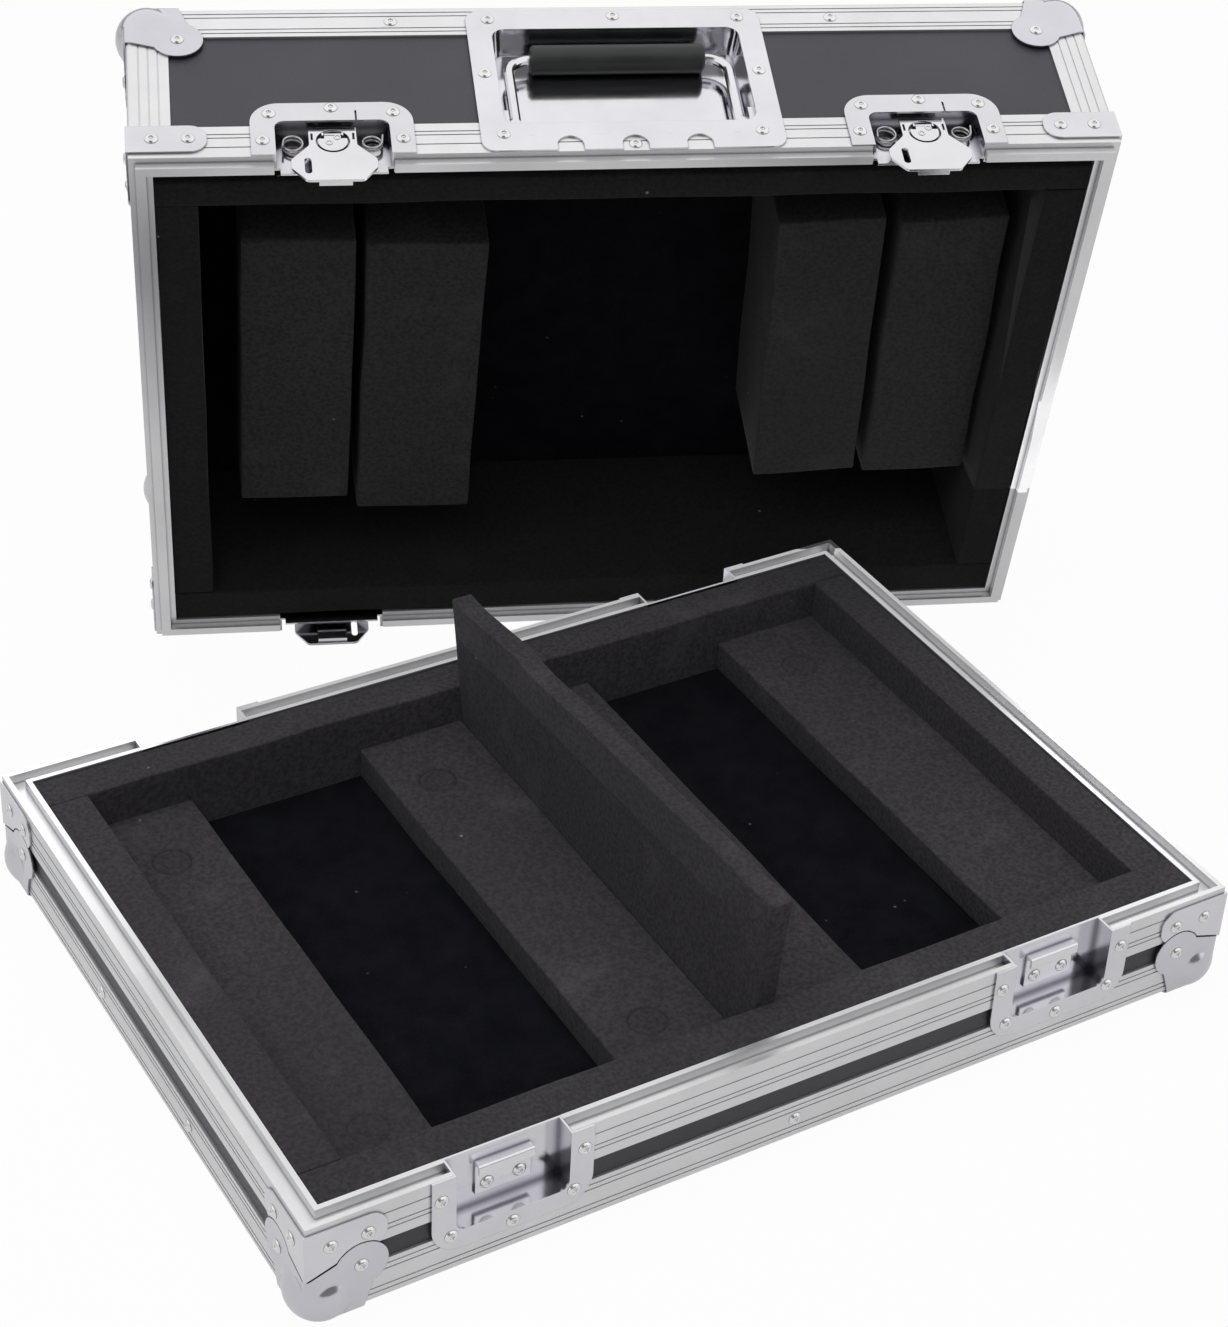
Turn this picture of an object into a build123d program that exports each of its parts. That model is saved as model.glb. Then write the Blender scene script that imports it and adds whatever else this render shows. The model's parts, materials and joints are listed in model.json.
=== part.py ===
from build123d import *
import math
import os

# A flight case in two halves: a shallow tray with a deep lift-off lid, held by four twist latches.
# Millimetres. X runs along the width, -Y is the front, +Z is up.
# The origin is on the floor under the tray's centre. The tray stands on its four ball corners.
# The lid is shown as it stands when the case is open: on its rear rim edge, behind the tray.

# Overall size
case_width = 520.0
case_depth = 370.0
tray_height = 60.0
lid_height = 120.0

# Panels and extruded edging
panel_thickness = 9.0
edging_skin = 1.5
edging_width = 24.0
corner_edging_width = 22.0
rim_height = 23.5
rim_thickness = 12.0
rim_web_depth = 8.0
groove_width = 6.5
groove_depth = 5.5
tongue_height = 4.5
tongue_clearance = 0.6
edge_round = 2.5
rib_width = 0.8
rib_depth = 0.35
edging_ribs = [4.5, 7.6, 17.4, 20.5]
rim_ribs = [7.0, 14.2, 17.0]
corner_ribs = [6.0, 11.0, 16.0]

# How far a cut runs past the faces that it goes through
overrun = 1.0

# Ball corners
ball_radius = 17.0
ball_proud = 5.5
corner_trim = 13.0
ball_plate = 1.2
ball_leg = 27.5
ball_waist = (33.0, 15.0)
ball_lobe = 13.5
ball_rivet_inset = 27.0
ball_edge_round = 3.0
ball_blend = 6.0

# Brackets round the rim's corners. The tray's meets the ball corner's plates along a narrow gap.
bracket_leg = 40.0
bracket_drop = 3.5
bracket_height = 20.0
bracket_round = 9.0
bracket_rivet_near = 12.0
bracket_rivet_far = 30.5
bracket_gap = 0.7
tray_bracket_foot = 28.6
tray_bracket_low = 36.0
tray_bracket_bend = 20.0
tray_bracket_rivet_level = 45.6

# Rivets
rivet_radius = 3.6
rivet_head = 1.4
rivet_sides = 8
edging_rivet_inset = 12.5
tray_front_rivets = [0.0]
lid_front_rivets = [-120.0, 120.0]
side_rivets = [-54.0, 54.0]

# Latches and catches, each pair at the same places on both halves
latch_spacing = 312.0
plate_width = 84.0
plate_thickness = 1.2
dish_half_width = 29.5
dish_sheet = 1.2
catch_plate_height = 46.0
catch_plate_round = 16.0
catch_depth = 10.8
opening_round = 5.0
catch_rivets = [(-37.0, 12.6), (37.0, 12.6), (-32.0, 36.5), (32.0, 36.5), (0.0, 41.5)]
latch_plate_height = 40.0
latch_plate_round = 15.0
latch_opening = 26.0
latch_cavity = 31.5
latch_depth = 8.5
latch_apron = 4.0
apron_inset = 2.0
latch_rivets = [(-36.0, 11.0), (36.0, 11.0), (-32.0, 32.0), (32.0, 32.0), (0.0, 35.9)]
latch_slit_side = -12.6
latch_slit_width = 1.0
latch_slit_top = 33.6

# Strike that the hook pulls on
strike_width = 29.0
strike_strip = 1.5
strike_top = 7.5
strike_height = 20.0
strike_nose_reach = 5.3
strike_lip_height = 5.3
strike_rivet_spacing = 17.0
strike_rivet_drop = 22.0

# Hook plate, rotor and wing of a latch
hook_thickness = 1.5
hook_sink = 2.5
hook_top = 24.5
hook_reach = 16.0
hook_neck = 12.3
hook_neck_drop = 11.0
hook_shoulder = 22.0
hook_shoulder_reach = 6.4
hook_tip = 14.5
hook_round = 3.0
hook_slot_length = 12.0
hook_slot_width = 3.6
hook_slot_side = 13.5
hook_slot_reach = 4.8
hook_slit_side = 10.7
hook_slit_width = 1.1
hook_slit_length = 5.0
hook_slit_drop = 17.6
hook_tongue_width = 17.0
hook_tongue_sheet = 1.2
hook_tongue_lap = 2.0
hook_lip_depth = 3.2
hook_lip = 1.4
hook_lip_set = 0.8
rotor_drop = 14.0
rotor_radius = 10.2
rotor_hole = 8.8
rotor_thickness = 1.1
rotor_gap = 0.4
rotor_ear = 1.0
rotor_post = 2.5
rotor_foot_gap = 0.3
wing_radius = 7.6
wing_thickness = 1.2
wing_hinge_offset = 5.0
wing_flank = 3.0
wing_pin = 0.6
wing_pin_end = 0.2
wing_knuckle = 1.1
pin_clearance = 0.05
wing_half_width = 4.3
wing_marks = [(-2.4, -2.9), (1.9, 1.2)]
wing_mark_radius = 1.9
wing_mark_hole = 1.2
wing_mark_height = 0.25
wing_mark_sides = 12
wing_side_gap = 0.3
spring_wire = 1.3
spring_sides = 6
spring_radius = 5.0
spring_pitch = 2.1
spring_turns = 2
spring_side = 20.4
spring_drop = 15.0
spring_tail = 4.0

# Handle
handle_plate_width = 160.0
handle_plate_height = 114.5
handle_opening_half = 67.0
handle_opening_near = 21.6
handle_opening_far = 98.7
handle_depth = 16.0
handle_sheet = 1.4
handle_corner = 8.0
handle_mouth_round = 7.0
handle_taper = 6.0
bail_wire = 6.0
bail_sides = 12
bail_inset = 7.5
bail_bend = 12.0
bail_foot_bend = 4.0
bail_pivot_drop = 29.0
bail_grip_drop = 83.0
bail_sink = 7.5
bail_lug = 3.5
bail_end_gap = 1.6
bail_end_clearance = 0.2
grip_diameter = 16.0
grip_end_gap = 0.5
grip_bevel = 1.5
notch_radius = 7.0
notch_drop = 4.0
notch_spacing = 34.0
pan_bar_length = 98.0
pan_bar_width = 9.0
pan_bar_height = 1.6
pan_bar_taper = 40.0
pan_bar_drop = 36.0
dimple_radius = 3.0
dimple_height = 0.9
dimple_spacing = 36.0
dimple_drop = 9.0
handle_rivets = [(-68, 107), (0, 109), (68, 107), (-73.5, 62), (73.5, 62), (-68, 13), (68, 13)]
notch_rivet_drop = 5.2

# Foam and felt
foam_wall = 22.0
foam_sink = 1.0
lining_thickness = 7.5
strip_top = 36.0
left_strip_edge = -169.0
centre_block_left = -70.0
centre_block_right = 74.0
right_strip_edge = 161.0
divider_thickness = 12.0
divider_x = -1.0
divider_top = 119.0
divider_twist = 2.8
divider_straight = 2.0
slot_clearance = 0.4
divider_end_clearance = 0.5
slot_floor = 20.0
lid_lining_thickness = 9.5
block_face = 25.0

# Foam blocks in the lid: x and width in shares of the inner half width, y, length, tilt in degrees
block_specs = {
    "lid_block_outer_left": (-0.7735, 3.5, 0.2743, 201.0, -1.0),
    "lid_block_inner_left": (-0.4664, -3.5, 0.2876, 207.0, -1.1),
    "lid_block_inner_right": (0.5398, 10.5, 0.2677, 200.0, 2.4),
    "lid_block_outer_right": (0.8416, 10.5, 0.2699, 200.0, 1.6),
}

# Where the lid stands: angle about the vertical, lean towards the front, place on the floor
lid_yaw = -22.3
lid_lean = 15.2
lid_stand_x = 118.5
lid_stand_y = 214.0

half_width = case_width / 2
half_depth = case_depth / 2
wall_inner = edging_skin + panel_thickness
foam_inner = rim_thickness + foam_wall
groove_inset = (rim_thickness - groove_width) / 2
catch_opening = tray_height - edging_width - dish_sheet
lining_level = edging_skin + panel_thickness + lining_thickness
lid_lining_level = edging_skin + panel_thickness + lid_lining_thickness
hook_back = hook_sink + hook_thickness
bail_half = handle_opening_half - bail_inset
grip_length = 2 * (bail_half - bail_bend - grip_end_gap)
tray_place = Pos(0, 0, ball_proud)
lean = math.radians(lid_lean)
stand_lift = max(plate_thickness * math.cos(lean), hook_reach * math.sin(lean) - hook_sink * math.cos(lean))
lid_stand_z = stand_lift + half_depth * math.cos(lean)
lid_stand = Pos(lid_stand_x, lid_stand_y, lid_stand_z) * Rot(0, 0, lid_yaw) * Rot(lid_lean + 90, 0, 0)
lid_place = lid_stand * Pos(0, 0, -lid_height)


def block(x0, x1, y0, y1, z0, z1):
    """A box given by its limits along each axis."""
    middle = Pos((x0 + x1) / 2, (y0 + y1) / 2, (z0 + z1) / 2)
    return middle * Box(abs(x1 - x0), abs(y1 - y0), abs(z1 - z0))


def inset_block(inset, z0, z1):
    """The case's outline drawn in by an inset, between two heights."""
    return block(inset - half_width, half_width - inset, inset - half_depth, half_depth - inset, z0, z1)


def ring(outer, inner, z0, z1):
    """A rectangular frame between two insets from the case's outline."""
    return inset_block(outer, z0, z1) - inset_block(inner, z0 - overrun, z1 + overrun)


def corner_block(low, high):
    """A cube between two limits that are the same on all three axes."""
    return block(low, high, low, high, low, high)


def slab(u0, u1, w0, w1, v0, v1):
    """A box on a wall: u along it, w outwards from its face, v down from the rim."""
    return block(u0, u1, -w1, -w0, -v1, -v0)


def outward(sketch, w0, w1):
    """Extrude a wall sketch, drawn in (u, -v), from one level outwards to another."""
    return extrude(Plane.XZ.offset(w0) * sketch, amount=w1 - w0)


def mitre_cutters(low, high):
    """Four prisms that meet on the corner mitres: front, right, rear and left."""
    reach = half_depth + edging_width
    inner = half_width - half_depth
    outer = inner + reach
    long_side = Polyline((-outer, -reach), (outer, -reach), (inner, 0), (-inner, 0), close=True)
    short_side = Polyline((outer, -reach), (outer, reach), (inner, 0), close=True)
    cutters = []
    for outline, turn in ((long_side, 0), (short_side, 0), (long_side, 180), (short_side, 180)):
        prism = extrude(Pos(0, 0, low) * make_face(outline), amount=high - low)
        cutters.append(Rot(0, 0, turn) * prism)
    return cutters


def mitred(frame):
    """Cut a frame into its mitred bars."""
    box = frame.bounding_box()
    bars = []
    for cutter in mitre_cutters(box.min.Z - overrun, box.max.Z + overrun):
        bars += (frame & cutter).solids()
    return bars


def wall_site(front, x, rim, flipped):
    """The place of hardware on a long wall. The lid is built upside down, so its front is at +Y."""
    if front == flipped:
        return Pos(x, half_depth, rim) * Rot(0, 0, 180)
    return Pos(x, -half_depth, rim)


def latch_sites(rim, flipped):
    """The four latch places of one half, by name."""
    sites = {}
    for side, front in (("front", True), ("rear", False)):
        for hand, x in (("left", -latch_spacing / 2), ("right", latch_spacing / 2)):
            sites[side + "_" + hand] = wall_site(front, x, rim, flipped)
    return sites


def corner_sites(z):
    """Locations that turn a corner drawn at the origin, with the case in +X +Y, to the four corners."""
    return [
        Pos(-half_width, -half_depth, z),
        Pos(half_width, -half_depth, z) * Rot(0, 0, 90),
        Pos(half_width, half_depth, z) * Rot(0, 0, 180),
        Pos(-half_width, half_depth, z) * Rot(0, 0, 270),
    ]


def trim_corners(shape):
    """Cut the bottom corners back where the ball corners fill them."""
    cube = corner_block(-overrun, corner_trim)
    for site in corner_sites(0):
        shape = shape - site * cube
    return shape


def rivet():
    """A low rivet head along +Z with its underside at the origin."""
    return extrude(RegularPolygon(rivet_radius, rivet_sides), amount=rivet_head, taper=35)


def wall_rivets(points, level):
    """Rivets at (u, v) on a wall, their undersides at one level."""
    heads = []
    for u, v in points:
        seat = Plane(origin=(u, -level, -v), x_dir=(1, 0, 0), z_dir=(0, -1, 0))
        heads.append(seat * rivet())
    return heads


def petal(grow=0):
    """The outline of a ball corner's plate on one face: narrow along the edges, with a round lobe between."""
    near = -ball_plate - grow
    far = ball_leg + grow
    across, along = ball_waist
    outline = make_face(Polyline(
        (near, near), (far, near), (across + grow, along), (ball_rivet_inset, ball_rivet_inset),
        (along, across + grow), (near, far), close=True,
    ))
    return outline + Pos(ball_rivet_inset, ball_rivet_inset) * Circle(ball_lobe + grow)


def ball_corner():
    """A steel ball corner: a dome that runs smoothly into one petal-shaped plate on each of three faces."""
    centre = ball_radius - ball_proud
    reach = ball_rivet_inset + ball_lobe + overrun
    sphere = Pos(centre, centre, centre) * Sphere(ball_radius)
    shell = corner_block(-ball_plate, reach)
    corner = shell.vertices().sort_by(lambda p: p.X + p.Y + p.Z)[0]
    shell = fillet([edge for edge in shell.edges() if corner in edge.vertices()], ball_edge_round)
    shell = shell - corner_block(0, 2 * reach)
    shell = shell - (corner_block(-ball_plate - overrun, centre) - sphere)
    leaf = petal()
    under = extrude(leaf, amount=-ball_plate)
    side_x = extrude(Plane(origin=(0, 0, 0), x_dir=(0, 1, 0), z_dir=(1, 0, 0)) * leaf, amount=-ball_plate)
    side_y = extrude(Plane.XZ * leaf, amount=ball_plate)
    dome = sphere - (corner_block(0, 2 * reach) - corner_block(-overrun, corner_trim))
    body = dome + (shell & (under + side_x + side_y))
    creases = []
    for edge in body.faces().filter_by(GeomType.SPHERE)[0].edges():
        if abs(min(edge.center()) + ball_plate) < 0.01:
            creases.append(edge)
    return fillet(creases, ball_blend)


def ball_rivets():
    """One rivet on each of a ball corner's three plates."""
    inset = ball_rivet_inset
    front = Plane(origin=(inset, -ball_plate, inset), x_dir=(1, 0, 0), z_dir=(0, -1, 0))
    side = Plane(origin=(-ball_plate, inset, inset), x_dir=(0, 1, 0), z_dir=(-1, 0, 0))
    under = Plane(origin=(inset, inset, -ball_plate), x_dir=(1, 0, 0), z_dir=(0, 0, -1))
    return [seat * rivet() for seat in (front, side, under)]


def lid_bracket_outline():
    """A strip with a rounded end, drawn from the rim's corner."""
    length = bracket_leg + ball_plate
    middle = Pos(length / 2 - ball_plate, -bracket_drop - bracket_height / 2)
    strip = middle * Rectangle(length, bracket_height)
    return fillet(strip.vertices().sort_by(Axis.X)[-2:], bracket_round)


def tray_bracket_outline():
    """A strip that widens towards the corner and keeps a narrow gap round the ball corner's plate."""
    foot = tray_bracket_foot - tray_height
    low = tray_bracket_low - tray_height
    outline = make_face(Polyline(
        (-ball_plate, -bracket_drop), (bracket_leg, -bracket_drop), (bracket_leg, low),
        (tray_bracket_bend, low), (-ball_plate, foot), close=True,
    ))
    outline = fillet(outline.vertices().sort_by(Axis.X)[-2:], bracket_round)
    return outline - Pos(0, -tray_height) * petal(bracket_gap)


def rim_bracket(outline):
    """A flat strip bent round the rim's corner. The rim is at z = 0."""
    front = outward(outline, 0, ball_plate)
    side = extrude(Plane(origin=(0, 0, 0), x_dir=(0, 1, 0), z_dir=(1, 0, 0)) * outline, amount=-ball_plate)
    return front + side


def bracket_rivets(drop):
    """Two rivets on each leg of a rim bracket."""
    heads = []
    for reach in (bracket_rivet_near, bracket_rivet_far):
        front = Plane(origin=(reach, -ball_plate, -drop), x_dir=(1, 0, 0), z_dir=(0, -1, 0))
        side = Plane(origin=(-ball_plate, reach, -drop), x_dir=(0, 1, 0), z_dir=(-1, 0, 0))
        heads += [front * rivet(), side * rivet()]
    return heads


def dish(height, plate_round, opening, cavity, depth):
    """A recessed dish: an arched plate on the wall with a sheet pan behind it, open to the rim."""
    plate = Pos(0, -height / 2) * Rectangle(plate_width, height)
    plate = fillet(plate.vertices().group_by(Axis.Y)[0], plate_round)
    mouth = Pos(0, opening_round - opening / 2) * Rectangle(2 * dish_half_width, opening + 2 * opening_round)
    mouth = fillet(mouth.vertices().group_by(Axis.Y)[0], opening_round)
    outer = dish_half_width + dish_sheet
    pan = slab(-outer, outer, -depth - dish_sheet, 0, 0, cavity + dish_sheet)
    pan = pan - slab(-dish_half_width, dish_half_width, -depth, overrun, -overrun, cavity)
    return outward(plate - mouth, 0, plate_thickness) + pan


def rim_gap():
    """The piece of rim, tongue and all, that is cut out for a dish."""
    outer = dish_half_width + dish_sheet
    past = tongue_height + overrun
    return slab(-outer, outer, -rim_thickness - overrun, overrun, -past, rim_height + overrun)


def catch_dish():
    """The tray's dish, which takes the strike."""
    return dish(catch_plate_height, catch_plate_round, catch_opening, catch_opening, catch_depth)


def latch_dish():
    """The lid's dish, with an apron past the rim that the hook slides on and a slit in its plate."""
    apron_half = dish_half_width - apron_inset
    apron = slab(-apron_half, apron_half, -latch_depth - dish_sheet, -latch_depth, -latch_apron, 0)
    slit_half = latch_slit_width / 2
    slit = slab(latch_slit_side - slit_half, latch_slit_side + slit_half, 0, plate_thickness + overrun,
                latch_opening - overrun, latch_slit_top)
    body = dish(latch_plate_height, latch_plate_round, latch_opening, latch_cavity, latch_depth)
    return body - slit + apron


def strike():
    """A bent strip on the dish's back, with a nose and a downturned lip that the hook catches."""
    back = -catch_depth
    face = back + strike_strip
    nose = back + strike_nose_reach
    top = strike_top
    profile = Polyline(
        (-back, -top - strike_height), (-face, -top - strike_height), (-face, -top - strike_strip),
        (-nose + strike_strip, -top - strike_strip), (-nose + strike_strip, -top - strike_lip_height),
        (-nose, -top - strike_lip_height), (-nose, -top), (-back, -top), close=True,
    )
    side = Plane(origin=(-strike_width / 2, 0, 0), x_dir=(0, 1, 0), z_dir=(1, 0, 0))
    strip = extrude(side * make_face(profile), amount=strike_width)
    corner = strip.edges().filter_by(Axis.X).sort_by(lambda e: e.center().Y - e.center().Z)[0]
    return fillet(corner, strike_strip * 0.8)


def hook():
    """The sliding hook plate: a neck, wide shoulders and a rounded tip past the rim, with a lipped tongue."""
    right = [
        (hook_neck, -hook_top), (hook_neck, -hook_neck_drop), (hook_shoulder, 0),
        (hook_shoulder, hook_shoulder_reach), (hook_tip, hook_reach),
    ]
    left = [(-u, y) for u, y in reversed(right)]
    outline = make_face(Polyline(*right, *left, close=True))
    lower = outline.vertices().sort_by(Axis.Y)[2:]
    outline = fillet(lower, hook_round)
    outline = outline - Pos(0, -rotor_drop) * Circle(rotor_hole)
    slot = SlotOverall(hook_slot_length, hook_slot_width, rotation=90)
    outline = outline - Pos(hook_slot_side, hook_slot_reach) * slot
    for sign in (-1, 1):
        outline = outline - Pos(sign * hook_slit_side, -hook_slit_drop) * Rectangle(
            hook_slit_width, hook_slit_length)
    plate = outward(outline, -hook_back, -hook_sink)
    half = hook_tongue_width / 2
    end = -hook_reach + hook_lip_set
    tongue = slab(-half, half, -hook_back - hook_tongue_sheet, -hook_back, end, -hook_tongue_lap)
    lip = slab(-half, half, -hook_back - hook_lip_depth, -hook_back, end, end + hook_lip)
    return plate + tongue + lip


def rotor():
    """The disc behind the hook plate, with the post it turns on and two ears for the wing's pin."""
    face = -hook_back - rotor_gap
    back = face - rotor_thickness
    disc = Pos(0, -rotor_drop) * Circle(rotor_radius)
    post = Pos(0, -rotor_drop) * Circle(rotor_post)
    body = outward(disc, back, face) + outward(post, -latch_depth + rotor_foot_gap, back)
    hinge_drop = rotor_drop + wing_hinge_offset
    pin_level = -hook_sink - wing_thickness / 2
    inner = wing_half_width + wing_side_gap
    for sign in (-1, 1):
        ear = slab(sign * inner, sign * (inner + rotor_ear), face, pin_level + wing_knuckle,
                   hinge_drop - wing_knuckle, hinge_drop + wing_knuckle)
        body = body + ear
    pin = Pos(0, -pin_level, -hinge_drop) * Rot(0, 90, 0) * Cylinder(wing_pin, 2 * (inner + wing_pin_end))
    return body + pin


def wing():
    """The thumb wing with two pressed marks, folded flat into the hook plate's hole, on its knuckle."""
    pin_level = -hook_sink - wing_thickness / 2
    hinge_drop = rotor_drop + wing_hinge_offset
    disc = Pos(0, -rotor_drop) * Circle(wing_radius)
    beyond = Pos(0, -hinge_drop - wing_radius) * Rectangle(2 * wing_radius, 2 * wing_radius)
    flank_width = wing_radius - wing_half_width
    plate = disc - beyond
    for sign in (-1, 1):
        flank_u = sign * (wing_half_width + flank_width / 2)
        plate = plate - Pos(flank_u, -hinge_drop) * Rectangle(flank_width, 2 * wing_flank)
    face = pin_level + wing_thickness / 2
    body = outward(plate, pin_level - wing_thickness / 2, face)
    mark = RegularPolygon(wing_mark_radius, wing_mark_sides) - RegularPolygon(wing_mark_hole, wing_mark_sides)
    for u, rise in wing_marks:
        body = body + outward(Pos(u, rise - rotor_drop) * mark, face, face + wing_mark_height)
    lie = Pos(0, -pin_level, -hinge_drop) * Rot(0, 90, 0)
    body = body + lie * Cylinder(wing_knuckle, 2 * wing_half_width)
    return body - lie * Cylinder(wing_pin + pin_clearance, 2 * (wing_half_width + overrun))


def biarc(start, start_way, end, end_way):
    """Two arcs that join two points and keep their tangents."""
    chord = end - start
    ways = start_way + end_way
    a = 2 * (1 - start_way.dot(end_way))
    b = 2 * chord.dot(ways)
    reach = (-b + math.sqrt(b * b + 4 * a * chord.dot(chord))) / (2 * a)
    first, second = start + start_way * reach, end - end_way * reach
    middle = (first + second) * 0.5
    middle_way = (second - first).normalized()
    return [Edge.make_tangent_arc(start, start_way, middle), Edge.make_tangent_arc(middle, middle_way, end)]


def spring_path():
    """A latch spring's centre line along +Z: biarcs of half a turn and a straight tail."""
    def point(turn):
        angle = 2 * math.pi * turn
        return Vector(spring_radius * math.cos(angle), spring_radius * math.sin(angle), spring_pitch * turn)

    def way(turn):
        angle = 2 * math.pi * turn
        rise = spring_pitch / (2 * math.pi)
        return Vector(-spring_radius * math.sin(angle), spring_radius * math.cos(angle), rise).normalized()

    edges = []
    for half in range(2 * spring_turns):
        turn = half / 2
        edges += biarc(point(turn), way(turn), point(turn + 0.5), way(turn + 0.5))
    tail = Edge.make_line(point(spring_turns), point(spring_turns) + way(spring_turns) * spring_tail)
    return Wire(edges + [tail])


def spring():
    """A latch spring's open coil, one unbroken wire with a many-sided section."""
    path = spring_path()
    section = Plane(origin=path @ 0, z_dir=path % 0) * RegularPolygon(spring_wire / 2, spring_sides)
    return sweep(section, path=path)


def spring_gap():
    """The least gap between a spring's turns, from points at least half a turn apart on its centre line."""
    path = spring_path()
    half_turn = 40
    count = math.ceil(half_turn * path.length / (math.pi * spring_radius))
    points = [path @ (k / count) for k in range(count + 1)]
    nearest = min((b - a).length for k, a in enumerate(points) for b in points[k + half_turn:])
    return nearest - spring_wire


def dimple():
    """A low round dome along +Z, pressed in a plate."""
    sphere_radius = (dimple_radius ** 2 + dimple_height ** 2) / (2 * dimple_height)
    ball = Pos(0, 0, dimple_height - sphere_radius) * Sphere(sphere_radius)
    return ball & Pos(0, 0, sphere_radius) * Box(2 * dimple_radius, 2 * dimple_radius, 2 * sphere_radius)


def handle_dish():
    """The handle's plate and deep pan with a pressed bar, and two lugs that carry the bail."""
    plate = Pos(0, -handle_plate_height / 2) * Rectangle(handle_plate_width, handle_plate_height)
    plate = fillet(plate.vertices(), handle_corner)
    height = handle_opening_far - handle_opening_near
    drop = (handle_opening_far + handle_opening_near) / 2
    mouth = Pos(0, -drop) * RectangleRounded(2 * handle_opening_half, height, handle_mouth_round)
    wide = 2 * (handle_opening_half + handle_sheet)
    rim = Pos(0, -drop) * RectangleRounded(wide, height + 2 * handle_sheet, handle_mouth_round + handle_sheet)
    notch = Circle(notch_radius) + Pos(0, notch_drop / 2) * Rectangle(2 * notch_radius, notch_drop)
    for step in (-1, 0, 1):
        plate = plate - Pos(step * notch_spacing, -notch_drop) * notch
    face = Plane.XZ
    pan = extrude(face * rim, amount=-handle_depth - handle_sheet, taper=handle_taper)
    hollow = extrude(face * mouth, amount=-handle_depth, taper=handle_taper)
    body = outward(plate - mouth, 0, plate_thickness) + pan - hollow
    bar = Pos(0, -pan_bar_drop) * Rectangle(pan_bar_length, pan_bar_width)
    body = body + extrude(Plane.XZ.offset(-handle_depth) * bar, amount=pan_bar_height, taper=pan_bar_taper)
    for step in (-1.5, -0.5, 0.5, 1.5):
        body = body + Pos(step * dimple_spacing, -plate_thickness, -dimple_drop) * Rot(90, 0, 0) * dimple()
    for sign in (-1, 1):
        inner = sign * (handle_opening_half - bail_lug)
        lug = slab(inner, sign * handle_opening_half, -bail_sink - bail_wire, -bail_sink + bail_wire,
                   bail_pivot_drop - bail_wire, bail_pivot_drop + bail_wire)
        body = body + lug
    foot = handle_opening_half - bail_end_gap
    bore = Cylinder(bail_wire / 2 + pin_clearance, 2 * (foot + bail_end_clearance))
    return body - Pos(0, bail_sink, -bail_pivot_drop) * Rot(0, 90, 0) * bore


def bail():
    """The bent wire of the handle, with its feet in the dish's lugs."""
    foot = handle_opening_half - bail_end_gap
    points = [
        (-foot, -bail_pivot_drop), (-bail_half, -bail_pivot_drop), (-bail_half, -bail_grip_drop),
        (bail_half, -bail_grip_drop), (bail_half, -bail_pivot_drop), (foot, -bail_pivot_drop),
    ]
    level = Plane.XZ.offset(-bail_sink)
    path = FilletPolyline(*[level.from_local_coords((u, v)) for u, v in points],
                          radius=[bail_foot_bend, bail_bend, bail_bend, bail_foot_bend])
    section = Plane(origin=path @ 0, z_dir=path % 0) * RegularPolygon(bail_wire / 2, bail_sides)
    return sweep(section, path=path)


def grip():
    """The rubber tube on the bail, bevelled at its ends."""
    half = grip_length / 2
    radius = grip_diameter / 2
    bore = bail_wire / 2 + pin_clearance
    profile = make_face(Polyline(
        (-half, bore), (half, bore), (half, radius - grip_bevel), (half - grip_bevel, radius),
        (grip_bevel - half, radius), (-half, radius - grip_bevel), close=True,
    ))
    return Pos(0, bail_sink, -bail_grip_drop) * revolve(profile, axis=Axis.X)


def panels(prefix, rim):
    """The flat panel and the four walls of one half, cut out for the dishes."""
    low, high = edging_skin + panel_thickness, rim - rim_web_depth
    wide, deep = half_width - edging_skin, half_depth - edging_skin
    long_inner = deep - panel_thickness
    walls = {
        "floor_panel" if prefix == "tray" else "top_panel": inset_block(edging_skin, edging_skin, low),
        "rear_panel": block(-wide, wide, long_inner, deep, low, high),
        "front_panel": block(-wide, wide, -deep, -long_inner, low, high),
        "left_panel": block(-wide, -wide + panel_thickness, -long_inner, long_inner, low, high),
        "right_panel": block(wide - panel_thickness, wide, -long_inner, long_inner, low, high),
    }
    if prefix == "lid":
        walls["front_panel"], walls["rear_panel"] = walls["rear_panel"], walls["front_panel"]
    return {prefix + "_" + name: trim_corners(wall) for name, wall in walls.items()}


def bottom_edging():
    """The extruded angle along the closed face's edges, with a rounded outer corner and fine ribs."""
    solid = inset_block(0, 0, edging_width)
    solid = fillet(solid.edges().group_by(Axis.Z)[0], edge_round)
    hollow = inset_block(edging_skin, edging_skin, edging_width + overrun)
    solid = solid - hollow - inset_block(edging_width, -overrun, edging_width)
    for at in edging_ribs:
        solid = solid - ring(-overrun, rib_depth, at, at + rib_width)
        solid = solid - ring(at, at + rib_width, -overrun, rib_depth)
    return solid


def rim_frame(rim, tongue):
    """The rim extrusion: it wraps the walls' edges and carries the groove or the tongue."""
    frame = ring(0, rim_thickness, rim - rim_height, rim)
    frame = frame - ring(edging_skin, wall_inner, rim - rim_height - overrun, rim - rim_web_depth)
    for drop in rim_ribs:
        frame = frame - ring(-overrun, rib_depth, rim - drop - rib_width, rim - drop)
    if tongue:
        outer, inner = groove_inset + tongue_clearance, groove_inset + groove_width - tongue_clearance
        return frame + ring(outer, inner, rim - overrun, rim + tongue_height)
    return frame - ring(groove_inset, groove_inset + groove_width, rim - groove_depth, rim + overrun)


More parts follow.
